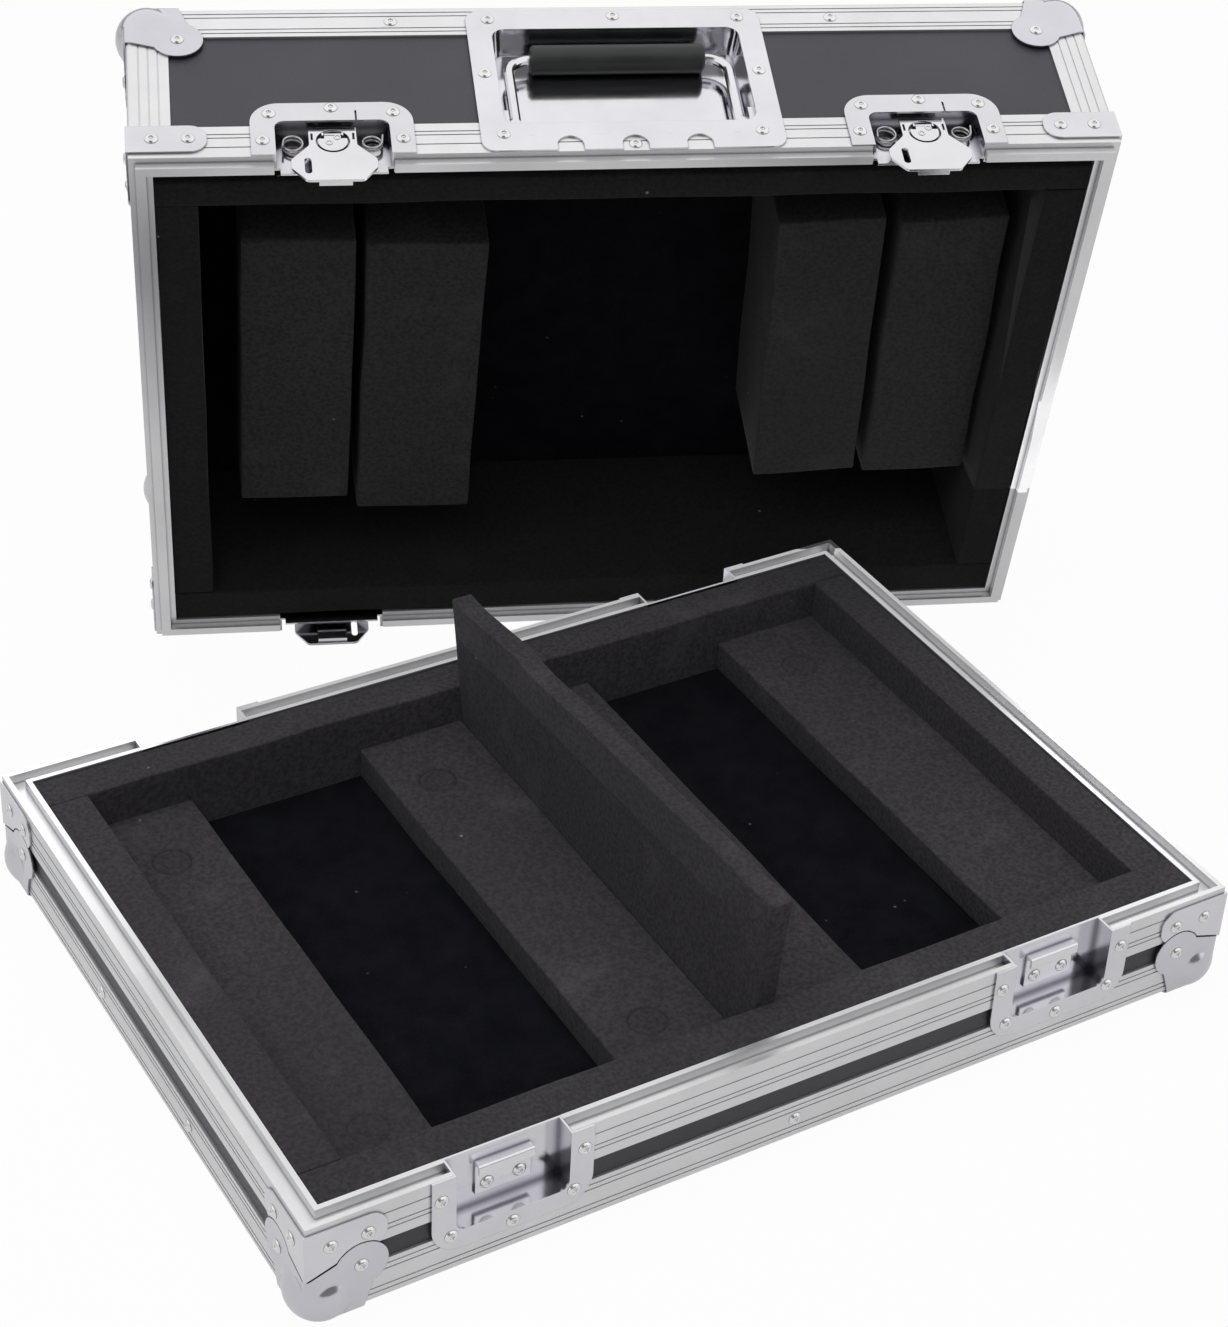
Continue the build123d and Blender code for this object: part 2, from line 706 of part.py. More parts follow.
def corner_angle(z0, z1):
    """The upright angle that covers one corner of the walls, with fine ribs."""
    size = corner_edging_width
    angle = block(0, size, 0, size, z0, z1)
    upright = angle.edges().filter_by(Axis.Z)
    angle = fillet(upright.sort_by(lambda e: e.center().X + e.center().Y)[0], edge_round)
    far = size + overrun
    low, high = z0 - overrun, z1 + overrun
    angle = angle - block(edging_skin, far, edging_skin, far, low, high)
    for at in corner_ribs:
        angle = angle - block(at, at + rib_width, -overrun, rib_depth, low, high)
        angle = angle - block(-overrun, rib_depth, at, at + rib_width, low, high)
    return angle


def foam_walls(prefix, rim, cutter):
    """The four foam walls inside one half, cut round the hardware that reaches into them."""
    low, high = edging_skin + panel_thickness, rim - foam_sink
    wide, deep = half_width - wall_inner, half_depth - wall_inner
    long_inner = half_depth - foam_inner
    short_inner = half_width - foam_inner
    walls = {
        "rear": block(-wide, wide, long_inner, deep, low, high),
        "front": block(-wide, wide, -deep, -long_inner, low, high),
        "left": block(-wide, -short_inner, -long_inner, long_inner, low, high),
        "right": block(short_inner, wide, -long_inner, long_inner, low, high),
    }
    if prefix == "lid":
        walls["front"], walls["rear"] = walls["rear"], walls["front"]
    shell = ring(0, rim_thickness, rim - rim_height, rim + overrun)
    named = {}
    for side, wall in walls.items():
        named[prefix + "_foam_" + side] = trim_corners(wall - shell - cutter)
    return named


def edging_rivets(places, underside_places):
    """Rivets along the closed face's edging, on its walls and on its flat flange."""
    heads = []
    level = edging_rivet_inset
    for x in places:
        heads.append(Plane(origin=(x, -half_depth, level), x_dir=(1, 0, 0), z_dir=(0, -1, 0)) * rivet())
        heads.append(Plane(origin=(x, half_depth, level), x_dir=(1, 0, 0), z_dir=(0, 1, 0)) * rivet())
    for y in side_rivets:
        heads.append(Plane(origin=(-half_width, y, level), x_dir=(0, 1, 0), z_dir=(-1, 0, 0)) * rivet())
        heads.append(Plane(origin=(half_width, y, level), x_dir=(0, 1, 0), z_dir=(1, 0, 0)) * rivet())
    for x in underside_places:
        for y in (-half_depth + level, half_depth - level):
            heads.append(Plane(origin=(x, y, 0), x_dir=(1, 0, 0), z_dir=(0, 0, -1)) * rivet())
    return heads


def tray():
    """All nodes of the tray, as {name: solids}, where they stand."""
    rim = tray_height
    sites = latch_sites(rim, flipped=False)
    outer = dish_half_width + dish_sheet
    pocket = slab(-outer, outer, -catch_depth - dish_sheet, 0, -overrun, catch_opening + dish_sheet)
    pans = [site * pocket for site in sites.values()]
    gaps = [site * rim_gap() for site in sites.values()]
    angle = corner_angle(edging_width, rim - rim_height)
    nodes = panels("tray", rim)
    for name in ("tray_front_panel", "tray_rear_panel"):
        nodes[name] = nodes[name] - pans
    nodes["tray_bottom_edging"] = mitred(trim_corners(bottom_edging()))
    nodes["tray_corner_edging"] = [site * angle for site in corner_sites(0)]
    nodes["tray_rim"] = mitred(rim_frame(rim, tongue=False) - gaps)
    nodes["tray_ball_corners"] = [site * ball_corner() for site in corner_sites(0)]
    bracket = rim_bracket(tray_bracket_outline())
    nodes["tray_rim_brackets"] = [site * bracket for site in corner_sites(rim)]
    nodes["catch_dishes"] = [site * catch_dish() for site in sites.values()]
    nodes["catch_strikes"] = [site * strike() for site in sites.values()]
    heads = edging_rivets(tray_front_rivets, lid_front_rivets)
    for site in corner_sites(0):
        heads += [site * head for head in ball_rivets()]
    for site in corner_sites(rim):
        heads += [site * head for head in bracket_rivets(rim - tray_bracket_rivet_level)]
    strike_points = [(sign * strike_rivet_spacing / 2, strike_rivet_drop) for sign in (-1, 1)]
    for site in sites.values():
        heads += [site * head for head in wall_rivets(catch_rivets, plate_thickness)]
        heads += [site * head for head in wall_rivets(strike_points, -catch_depth + strike_strip)]
    nodes["tray_rivets"] = heads
    nodes.update(foam_walls("tray", rim, pans))
    inner_x, inner_y = half_width - foam_inner, half_depth - foam_inner
    nodes["floor_lining"] = block(-inner_x, inner_x, -inner_y, inner_y, wall_inner, lining_level)
    nodes["foam_strip_left"] = block(-inner_x, left_strip_edge, -inner_y, inner_y, lining_level, strip_top)
    nodes["foam_strip_right"] = block(right_strip_edge, inner_x, -inner_y, inner_y, lining_level, strip_top)
    centre = block(centre_block_left, centre_block_right, -inner_y, inner_y, lining_level, strip_top)
    slot_half = divider_thickness / 2 + slot_clearance
    slot = block(divider_x - slot_half, divider_x + slot_half, -inner_y - overrun, inner_y + overrun,
                 slot_floor, strip_top + overrun)
    nodes["foam_block_centre"] = centre - slot
    nodes["divider"] = divider(inner_y)
    return nodes


def divider(inner_y):
    """The loose foam board that stands in the centre block's slot. Above the block it is a little twisted."""
    length = 2 * (inner_y - divider_end_clearance)
    straight = strip_top + divider_straight
    foot = block(divider_x - divider_thickness / 2, divider_x + divider_thickness / 2,
                 -length / 2, length / 2, slot_floor, straight)
    lower = Pos(divider_x, 0, straight) * Rectangle(divider_thickness, length)
    upper = Pos(divider_x, 0, divider_top) * Rot(0, 0, divider_twist) * Rectangle(divider_thickness, length)
    return foot + loft([lower, upper], ruled=True)


def lid():
    """All nodes of the lid, as {name: solids}, built upside down with the rim up."""
    rim = lid_height
    sites = latch_sites(rim, flipped=True)
    outer = dish_half_width + dish_sheet
    recess = slab(-outer, outer, -latch_depth - dish_sheet, 0, -overrun, latch_cavity + dish_sheet)
    pans = [site * recess for site in sites.values()]
    gaps = [site * rim_gap() for site in sites.values()]
    angle = corner_angle(edging_width, rim - rim_height)
    handle_site = wall_site(True, 0, rim, flipped=True)
    half = handle_opening_half + handle_sheet
    pocket = handle_site * slab(-half, half, -handle_depth - handle_sheet, overrun,
                                handle_opening_near - handle_sheet, handle_opening_far + handle_sheet)
    nodes = panels("lid", rim)
    nodes["lid_front_panel"] = nodes["lid_front_panel"] - pans - pocket
    nodes["lid_rear_panel"] = nodes["lid_rear_panel"] - pans
    nodes["lid_top_edging"] = mitred(trim_corners(bottom_edging()) - pocket)
    nodes["lid_corner_edging"] = [site * angle for site in corner_sites(0)]
    nodes["lid_rim"] = mitred(rim_frame(rim, tongue=True) - gaps - pocket)
    nodes["lid_ball_corners"] = [site * ball_corner() for site in corner_sites(0)]
    bracket = rim_bracket(lid_bracket_outline())
    nodes["lid_rim_brackets"] = [site * bracket for site in corner_sites(rim)]
    nodes["latch_dishes"] = [site * latch_dish() for site in sites.values()]
    heads = edging_rivets(lid_front_rivets, lid_front_rivets)
    for site in corner_sites(0):
        heads += [site * head for head in ball_rivets()]
    for site in corner_sites(rim):
        heads += [site * head for head in bracket_rivets(bracket_drop + bracket_height / 2)]
    for site in sites.values():
        heads += [site * head for head in wall_rivets(latch_rivets, plate_thickness)]
    heads += [handle_site * head for head in wall_rivets(handle_rivets, plate_thickness)]
    heads += [handle_site * head for head in wall_rivets([(0, notch_rivet_drop)], 0)]
    nodes["lid_rivets"] = heads
    nodes.update(foam_walls("lid", rim, [pocket]))
    inner_x, inner_y = half_width - foam_inner, half_depth - foam_inner
    nodes["lid_back_lining"] = block(-inner_x, inner_x, -inner_y, inner_y, wall_inner, lid_lining_level)
    thickness = rim - block_face - lid_lining_level
    for name, (across, y, share, length, tilt) in block_specs.items():
        place = Pos(across * inner_x, y, lid_lining_level + thickness / 2) * Rot(0, 0, tilt)
        nodes[name] = place * Box(share * inner_x, length, thickness)
    nodes["handle_dish"] = handle_site * handle_dish()
    nodes["handle_bail"] = handle_site * bail()
    nodes["handle_grip"] = handle_site * grip()
    coils = []
    for name, site in sites.items():
        nodes["hook_" + name] = site * hook()
        nodes["rotor_" + name] = site * rotor()
        nodes["wing_" + name] = site * wing()
        for sign in (-1, 1):
            seat = Plane(origin=(sign * spring_side, latch_depth - spring_wire / 2, -spring_drop),
                         x_dir=(sign, 0, 0), z_dir=(0, -1, 0))
            coils.append(site * (seat * spring()))
    nodes["latch_springs"] = coils
    return nodes


def write(name, place, shape):
    """Write one node's solids, where they stand, to its file."""
    items = shape if isinstance(shape, list) else [shape]
    solids = [solid for item in items for solid in (place * item).solids()]
    export_step(Compound(children=solids), "parts/" + name + ".step")


def main():
    os.makedirs("parts", exist_ok=True)
    for place, nodes in ((tray_place, tray()), (lid_place, lid())):
        for name, shape in nodes.items():
            write(name, place, shape)
    print(f"least gap between the turns of a latch spring: {spring_gap():.2f} mm")


main()
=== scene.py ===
import json
import math

import bmesh
import bpy
from mathutils import Matrix, Vector, noise


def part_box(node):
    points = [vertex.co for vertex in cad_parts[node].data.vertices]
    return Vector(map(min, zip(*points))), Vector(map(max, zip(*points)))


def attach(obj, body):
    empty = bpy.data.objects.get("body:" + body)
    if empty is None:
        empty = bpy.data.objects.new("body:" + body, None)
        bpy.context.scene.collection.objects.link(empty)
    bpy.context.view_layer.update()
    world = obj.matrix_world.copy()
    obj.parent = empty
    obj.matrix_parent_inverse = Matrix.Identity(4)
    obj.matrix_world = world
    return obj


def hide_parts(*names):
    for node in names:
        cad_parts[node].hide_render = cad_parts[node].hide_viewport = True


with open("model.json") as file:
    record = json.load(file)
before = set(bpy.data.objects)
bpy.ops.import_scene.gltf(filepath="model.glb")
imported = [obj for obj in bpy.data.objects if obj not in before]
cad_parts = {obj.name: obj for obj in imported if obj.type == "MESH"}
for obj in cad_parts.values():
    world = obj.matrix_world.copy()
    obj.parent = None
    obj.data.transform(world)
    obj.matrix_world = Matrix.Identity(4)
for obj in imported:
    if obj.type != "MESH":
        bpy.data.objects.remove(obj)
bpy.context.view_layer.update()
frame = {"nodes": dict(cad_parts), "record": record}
nodes = frame["nodes"]
record = frame["record"]

MM = 0.001

# The photograph's camera, in metres, degrees and pixels of the 1228 x 1327 photograph
PHOTO_WIDTH, PHOTO_HEIGHT = 1228, 1327
CAMERA_PLACE = Vector((-0.64461, -1.04144, 1.02393))
CAMERA_AZIMUTH = -32.793
CAMERA_ELEVATION = 34.249
CAMERA_ROLL = 3.582
FOCAL_PIXELS = 2990.4
PRINCIPAL_POINT = (663.93, 635.30)
SENSOR = 36.0

# Sizes repeated from the model, in metres
EDGING_SKIN = 1.5 * MM
RIM_THICKNESS = 12.0 * MM
FOAM_GAP = 0.3 * MM
ROTOR_DROP = 14.0 * MM
LATCH_NAMES = ("front_left", "front_right", "rear_left", "rear_right")

# A latch spring: its place in a latch's wall axes, then its coil
SPRING_SIDE = 20.4 * MM
SPRING_DROP = 15.0 * MM
SPRING_DEPTH = 7.85 * MM
SPRING_RADIUS = 5.0 * MM
SPRING_WIRE = 1.3 * MM
SPRING_PITCH = 2.1 * MM
SPRING_TURNS = 2
SPRING_TAIL = 4.0 * MM
SPRING_STEPS_PER_TURN = 28
SPRING_WIRE_SIDES = 12

# A rivet head from its rim to the bottom of its hollow: share of its radius, share of its height
RIVET_PROFILE = (
    (1.0, 0.0),
    (1.0, 0.12),
    (0.94, 0.30),
    (0.83, 0.58),
    (0.68, 0.86),
    (0.56, 0.98),
    (0.46, 1.0),
    (0.38, 0.93),
    (0.34, 0.75),
    (0.33, 0.35),
)
RIVET_HEIGHT = 1.4 * MM
RIVET_SIDES = 20

# Cut foam: how tight its pads are, and the slot and the loose board in the centre block
SLOT_GAP = 0.4 * MM
DIVIDER_FOOT = 30.0 * MM
DIVIDER_STRAIGHT = 38.0 * MM
DIVIDER_WAVE = 1.5 * MM

# The seed of the foam's waves. Without one they would differ from run to run, and this one
# leaves the divider clear of its slot's sides.
WAVE_SEED = 2

# Foot marks that equipment left on the tray's foam: x and y in mm, how deep, and how strong their
# painted shade is
FOOT_MARKS = {
    "foam_strip_left": ((-198.7, 107.0, 1.0, 0.8), (-196.0, -118.0, 0.5, 0.35)),
    "foam_strip_right": ((192.0, 110.5, 0.8, 0.6),),
    "foam_block_centre": ((-44.0, 107.0, 1.0, 0.8), (-41.7, -113.0, 0.9, 0.7)),
}

# The form of a foot mark, in mm: an outer ring, an inner ring and a disc
MARK_RADIUS = 10.0
MARK_INNER = 5.5
MARK_REACH = 13.0
RING_WIDTH = 0.8
RING_DEPTH = 1.1
INNER_DEPTH = 0.7
DISC_DEPTH = 0.5

# Soft boxes: name, place, the point that they look at, size and power
LAMPS = (
    ("key", (-1.1, -0.5, 2.8), (0, 0, 0.1), 3.0, 46),
    ("fill", (-0.6, -2.2, 1.6), (0, 0, 0.1), 1.6, 8),
    ("top", (0.3, 0.8, 2.6), (0.1, 0.2, 0.1), 2.0, 20),
)
CARD_LIGHT = 0.7

# The floor: half its width, and how much of it is plain white to the camera and in metal
FLOOR_SIZE = 12.0
FLOOR_SEEN = 0.97
FLOOR_MIRRORED = 0.5

# The surroundings: their light on the object, and their white to the camera and in metal
WORLD_LIGHT = 0.14
WORLD_SEEN = 1.04

# What metal mirrors darker: a patch round one direction, a band at the horizon except in front,
# and a low stretch in front. Each fades between its edges, which are parts of a direction.
PATCH_SIDE = (-0.448, -0.695, 0.563)
PATCH_EDGES = (0.86, 0.97)
PATCH_DARK = 0.85
BAND_HEIGHT = 0.10
BAND_EDGES = (0.02, 0.16)
BAND_SIDE_EDGES = (-0.6, 0.0)
BAND_DARK = 0.7
FRONT_SIDE_EDGES = (-0.9, -0.75)
FRONT_HEIGHT_EDGES = (0.25, 0.45)
FRONT_DARK = 0.8


# Places of the two halves

def joint(name):
    """One joint of the record."""
    return next(j for j in record["behaviour"]["joints"] if j["name"] == name)


def mount(name):
    """One mount of the record."""
    return next(m for m in record["mounts"] if m["name"] == name)


def lid_matrix():
    """The lid's own axes: x along it, y out of its front wall, z from its top panel to its rim."""
    inward = -Vector(joint("hook_draw_front_left")["axis"]).normalized()
    out = Vector(joint("latch_turn_front_left")["axis"]).normalized()
    along = out.cross(inward)
    origin = Vector(mount("lid_top_face")["pos_m"]) - inward * EDGING_SKIN
    return Matrix((
        (along.x, out.x, inward.x, origin.x),
        (along.y, out.y, inward.y, origin.y),
        (along.z, out.z, inward.z, origin.z),
        (0, 0, 0, 1),
    ))


TRAY = Matrix.Translation((0, 0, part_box("tray_bottom_edging")[0].z))
LID = lid_matrix()


def latch_place(name):
    """A latch's own axes on the lid's rim: x along the wall, -y out of it, -z into the lid."""
    pin = LID.inverted() @ Vector(joint("latch_turn_" + name)["pos_m"])
    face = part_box("tray_rim")[1].y
    front = pin.y > 0
    edge = Matrix.Translation((pin.x, face if front else -face, pin.z + ROTOR_DROP))
    return LID @ edge @ Matrix.Rotation(math.pi if front else 0, 4, "Z")


def local_points(node, place):
    """A node's vertices in the axes of one half."""
    back = place.inverted()
    return [back @ v.co for v in nodes[node].data.vertices]


def local_box(node, place):
    """A node's lowest and highest corners in the axes of one half."""
    points = local_points(node, place)
    low = Vector(min(p[k] for p in points) for k in range(3))
    high = Vector(max(p[k] for p in points) for k in range(3))
    return low, high


# Shader helpers

class Shader:
    """A material's node tree, built up call by call."""

    INPUTS = {
        "color": "Base Color",
        "rough": "Roughness",
        "metal": "Metallic",
        "normal": "Normal",
        "specular": "Specular IOR Level",
        "sheen": "Sheen Weight",
        "sheen_rough": "Sheen Roughness",
    }

    def __init__(self, name):
        self.material = bpy.data.materials.new(name)
        self.material.use_nodes = True
        self.tree = self.material.node_tree
        self.bsdf = self.tree.nodes["Principled BSDF"]
        self.output = self.tree.nodes["Material Output"]

    def node(self, kind, inputs=(), **settings):
        """Add a node with its settings, and plug in its inputs."""
        made = self.tree.nodes.new(kind)
        for key, value in settings.items():
            setattr(made, key, value)
        for key, value in dict(inputs).items():
            self.plug(made.inputs[key], value)
        return made

    def plug(self, socket, value):
        """Give a socket a link or a plain value."""
        if isinstance(value, bpy.types.NodeSocket):
            self.tree.links.new(value, socket)
        elif isinstance(value, bpy.types.Node):
            self.tree.links.new(value.outputs[0], socket)
        else:
            socket.default_value = value

    def set(self, **inputs):
        """Set inputs of the surface shader by their short names."""
        for key, value in inputs.items():
            self.plug(self.bsdf.inputs[self.INPUTS[key]], value)

    def position(self):
        """The point in the object's own coordinates, in metres."""
        return self.node("ShaderNodeTexCoord").outputs["Object"]

    def noise(self, scale, detail=3.0, rough=0.5):
        """Smooth noise from 0 to 1."""
        inputs = {"Vector": self.position(), "Scale": scale, "Detail": detail, "Roughness": rough}
        return self.node("ShaderNodeTexNoise", inputs)

    def specks(self, scale, size, rarity):
        """Round specks in the few cells whose random share is above rarity."""
        inputs = {"Vector": self.position(), "Scale": scale, "Randomness": 1.0}
        cells = self.node("ShaderNodeTexVoronoi", inputs)
        chance = self.node("ShaderNodeSeparateColor", {"Color": cells.outputs["Color"]})
        near = self.spread(cells.outputs["Distance"], 0.03, size, 1.0, 0.0)
        rare = self.spread(chance.outputs[0], rarity, rarity + 0.005)
        return self.math("MULTIPLY", near, rare)

    def math(self, operation, a, b=0.0):
        """Arithmetic on one or two values."""
        return self.node("ShaderNodeMath", {0: a, 1: b}, operation=operation)

    def spread(self, value, low, high, to_low=0.0, to_high=1.0):
        """Map a value's range to another one, clamped."""
        inputs = {"Value": value, "From Min": low, "From Max": high}
        inputs.update({"To Min": to_low, "To Max": to_high})
        return self.node("ShaderNodeMapRange", inputs)

    def mix(self, factor, a, b):
        """Mix two colours."""
        made = self.node("ShaderNodeMix", data_type="RGBA")
        self.plug(made.inputs[0], factor)
        self.plug(made.inputs[6], a)
        self.plug(made.inputs[7], b)
        return made.outputs[2]

    def bump(self, height, distance, strength=1.0, normal=None):
        """A normal that follows a height."""
        inputs = {"Height": height, "Distance": distance, "Strength": strength}
        if normal is not None:
            inputs["Normal"] = normal
        return self.node("ShaderNodeBump", inputs).outputs["Normal"]

    def soft_edges(self, radius):
        """A normal that rounds sharp edges."""
        return self.node("ShaderNodeBevel", {"Radius": radius}, samples=4).outputs["Normal"]


def rgb(red, green, blue):
    """A linear colour with full opacity."""
    return (red, green, blue, 1.0)


def shade(color, factor):
    """A colour made darker or lighter, with full opacity."""
    return rgb(*(c * factor for c in color))


# Materials

# The colour of painted shade, towards which metal darkens in its gaps, creases and hollows
PAINTED_SHADE_COLOR = (0.05, 0.038, 0.075)

# Each metal: colour, roughness, the rounding of its edges, and its painted shade's reach and
# strength
METALS = {
    "extrusion": dict(color=(0.80, 0.797, 0.807), rough=0.30, rough_change=0.03, reach=2.0 * MM,
                      shade_strength=0.6, metallic=0.8),
    "pan_steel": dict(color=(0.78, 0.775, 0.81), rough=0.12, rough_change=0.03, edge=0.5 * MM,
                      reach=3.0 * MM, shade_strength=0.35),
    "ball_steel": dict(color=(0.67, 0.665, 0.71), rough=0.14, edge=0.6 * MM, reach=8.0 * MM,
                       shade_strength=0.9),
    "dish_steel": dict(color=(0.73, 0.725, 0.76), rough=0.14, edge=0.4 * MM, reach=7.0 * MM,
                       shade_strength=0.75),
    "plated_steel": dict(color=(0.75, 0.745, 0.78), rough=0.20, edge=0.4 * MM),
    "bright_steel": dict(color=(0.80, 0.79, 0.82), rough=0.13, edge=0.3 * MM),
    "rivet_steel": dict(color=(0.84, 0.83, 0.84), rough=0.18, reach=1.4 * MM),
    "spring_wire": dict(color=(0.52, 0.51, 0.51), rough=0.25, rough_change=0.05),
    # The near-black bottom of each rivet's hollow: painted shade of the rivet's hole
    "rivet_hole_shade": dict(color=(0.035, 0.03, 0.035), rough=0.5, rough_change=0.05),
}


def metal(name, color, rough, rough_change=0.04, edge=0.0, reach=2.2 * MM, shade_strength=0.8, metallic=1.0):
    """A plated or milled metal: faint smudges, a little grain, painted shade in gaps within reach.
    """
    s = Shader(name)
    smudge = s.noise(22.0, detail=4.0, rough=0.6)
    fine = s.noise(160.0, detail=3.0, rough=0.6)
    face = s.mix(s.spread(smudge, 0.35, 0.7), rgb(*color), shade(color, 0.92))
    # Painted shade: the colour darkens where ambient occlusion finds parts close by, within reach
    gaps = s.node("ShaderNodeAmbientOcclusion", {"Distance": reach}, samples=8)
    shade_mask = s.spread(gaps.outputs["AO"], 0.35, 0.86, shade_strength, 0.0)
    worn = s.math("ADD", smudge, s.math("MULTIPLY", fine, 0.4))
    s.set(color=s.mix(shade_mask, face, rgb(*PAINTED_SHADE_COLOR)), metal=metallic)
    s.set(rough=s.spread(worn, 0.4, 1.0, rough - rough_change, rough + rough_change))
    s.set(normal=s.bump(fine, 0.02 * MM, 0.5, s.soft_edges(edge) if edge else None))
    return s.material


def laminate():
    """Charcoal laminate with a fine pebbled face."""
    s = Shader("laminate")
    pebble = s.noise(900.0, detail=2.0)
    cloud = s.noise(14.0)
    tone = s.mix(s.spread(cloud, 0.35, 0.65), rgb(0.034, 0.033, 0.044), rgb(0.043, 0.042, 0.054))
    s.set(color=tone, rough=s.spread(pebble, 0.3, 0.7, 0.36, 0.5), specular=0.5)
    s.set(normal=s.bump(pebble, 0.12 * MM, 0.35))
    return s.material


def foot_mark(s, x, y):
    """The painted shade of a foot mark at each point: a thin outer ring, an inner ring and a faint
    disc.
    """
    away = s.node("ShaderNodeVectorMath", {0: s.position(), 1: (x, y, 0)}, operation="SUBTRACT")
    flat = s.node("ShaderNodeVectorMath", {0: away, 1: (1, 1, 0)}, operation="MULTIPLY")
    reach = s.node("ShaderNodeVectorMath", {0: flat}, operation="LENGTH").outputs["Value"]
    radius = MARK_RADIUS * MM

    def ring(middle, width, dark):
        off = s.math("ABSOLUTE", s.math("SUBTRACT", reach, middle))
        return s.spread(off, 0.0, width, dark, 0.0)

    disc = s.spread(reach, radius * 0.9, radius, 0.22, 0.0)
    outer = s.math("MAXIMUM", disc, ring(radius, 1.1 * MM, 0.8))
    return s.math("MAXIMUM", outer, ring(radius * 0.5, 1.0 * MM, 0.55))


def foam(name, light, dark, marks=()):
    """Closed-cell foam: matt, with pores, a mottled grain, pale scuffs, dust, and foot marks
    darkened with painted shade.
    """
    s = Shader(name)
    pores = s.noise(1500.0, detail=2.0, rough=0.7)
    grain = s.noise(420.0, detail=3.0, rough=0.6)
    scuff = s.noise(24.0, detail=5.0, rough=0.62)
    cloud = s.noise(6.0, detail=2.0)
    tone = s.mix(s.spread(cloud, 0.3, 0.7), rgb(*dark), rgb(*light))
    tone = s.mix(s.spread(grain, 0.40, 0.62, 0.0, 0.7), tone, shade(dark, 0.5))
    # Foot marks: painted shade that darkens their pressed rings and disc
    for x, y, _, mark_shade in marks:
        ring_shade = s.math("MULTIPLY", foot_mark(s, x * MM, y * MM), mark_shade)
        tone = s.mix(ring_shade, tone, shade(dark, 0.25))
    tone = s.mix(s.spread(scuff, 0.56, 0.78, 0.0, 0.42), tone, shade(light, 1.7))
    tone = s.mix(s.spread(pores, 0.45, 0.75, 0.0, 0.45), tone, shade(dark, 0.55))
    tone = s.mix(s.specks(90.0, 0.10, 0.955), tone, rgb(0.30, 0.30, 0.31))
    s.set(color=tone, rough=0.93, specular=0.15, sheen=0.03, sheen_rough=0.6)
    s.set(normal=s.bump(pores, 0.35 * MM, 0.5, s.bump(grain, 0.6 * MM, 0.55)))
    return s.material


def felt():
    """Black felt with short fibres and specks of lint."""
    s = Shader("felt")
    fibre = s.noise(900.0, detail=3.0, rough=0.8)
    nap = s.noise(60.0, detail=4.0, rough=0.6)
    tone = s.mix(s.spread(nap, 0.35, 0.7), rgb(0.0050, 0.0052, 0.0076), rgb(0.0100, 0.0102, 0.0134))
    tone = s.mix(s.spread(fibre, 0.5, 0.8, 0.0, 0.5), tone, rgb(0.022, 0.023, 0.032))
    tone = s.mix(s.specks(130.0, 0.13, 0.945), tone, rgb(0.16, 0.16, 0.18))
    s.set(color=tone, rough=1.0, specular=0.05)
    s.set(normal=s.bump(fibre, 1.2 * MM, 0.8))
    return s.material


def grip_rubber():
    """Black rubber, a little polished by hands."""
    s = Shader("grip_rubber")
    wear = s.noise(40.0, detail=4.0, rough=0.6)
    grain = s.noise(700.0, detail=2.0, rough=0.6)
    tone = s.mix(s.spread(wear, 0.4, 0.7), rgb(0.010, 0.0115, 0.0115), rgb(0.020, 0.022, 0.022))
    s.set(color=tone, rough=s.spread(wear, 0.3, 0.7, 0.32, 0.5), specular=0.5)
    s.set(normal=s.bump(grain, 0.1 * MM, 0.3, s.soft_edges(0.8 * MM)))
    return s.material


def make_materials():
    """Every material by name: those of the record's slots, other finishes of some nodes, and foams
    darkened with painted shade for the lid.
    """
    marks = [mark for group in FOOT_MARKS.values() for mark in group]
    made = {name: metal(name, **looks) for name, looks in METALS.items()}
    made["laminate"] = laminate()
    made["foam"] = foam("foam", (0.067, 0.062, 0.070), (0.050, 0.0465, 0.053), marks)
    # The lid's foams are darker copies of the tray's foam, painted shade of the lid's hollow; the
    # blocks are a lighter foam than the walls
    made["lid_foam"] = foam("lid_foam", (0.0165, 0.0165, 0.018), (0.011, 0.011, 0.012))
    made["block_foam_shaded"] = foam("block_foam_shaded", (0.046, 0.0445, 0.047), (0.033, 0.032, 0.034))
    made["felt"] = felt()
    made["grip_rubber"] = grip_rubber()
    return made


materials = make_materials()


def dress(obj, material):
    """Give an object one material."""
    obj.data.materials.clear()
    obj.data.materials.append(materials[material])


# Soft pieces

def ticks(low, high, radius, cell, fine=()):
    """Grid places along one axis: close at the rounded ends and inside fine spans."""
    places = {low, high, low + radius, high - radius}
    for share in (0.08, 0.3, 0.6):
        places |= {low + radius * share, high - radius * share}
    inner = high - low - 2 * radius
    count = max(1, math.ceil(inner / cell))
    places |= {low + radius + inner * k / count for k in range(1, count)}
    for start, end, step in fine:
        steps = math.ceil((end - start) / step)
        places |= {start + (end - start) * k / steps for k in range(steps + 1)}
    kept = []
    for value in sorted(p for p in places if low <= p <= high):
        if not kept or value - kept[-1] > 0.02 * radius:
            kept.append(value)
    kept[-1] = high
    return kept


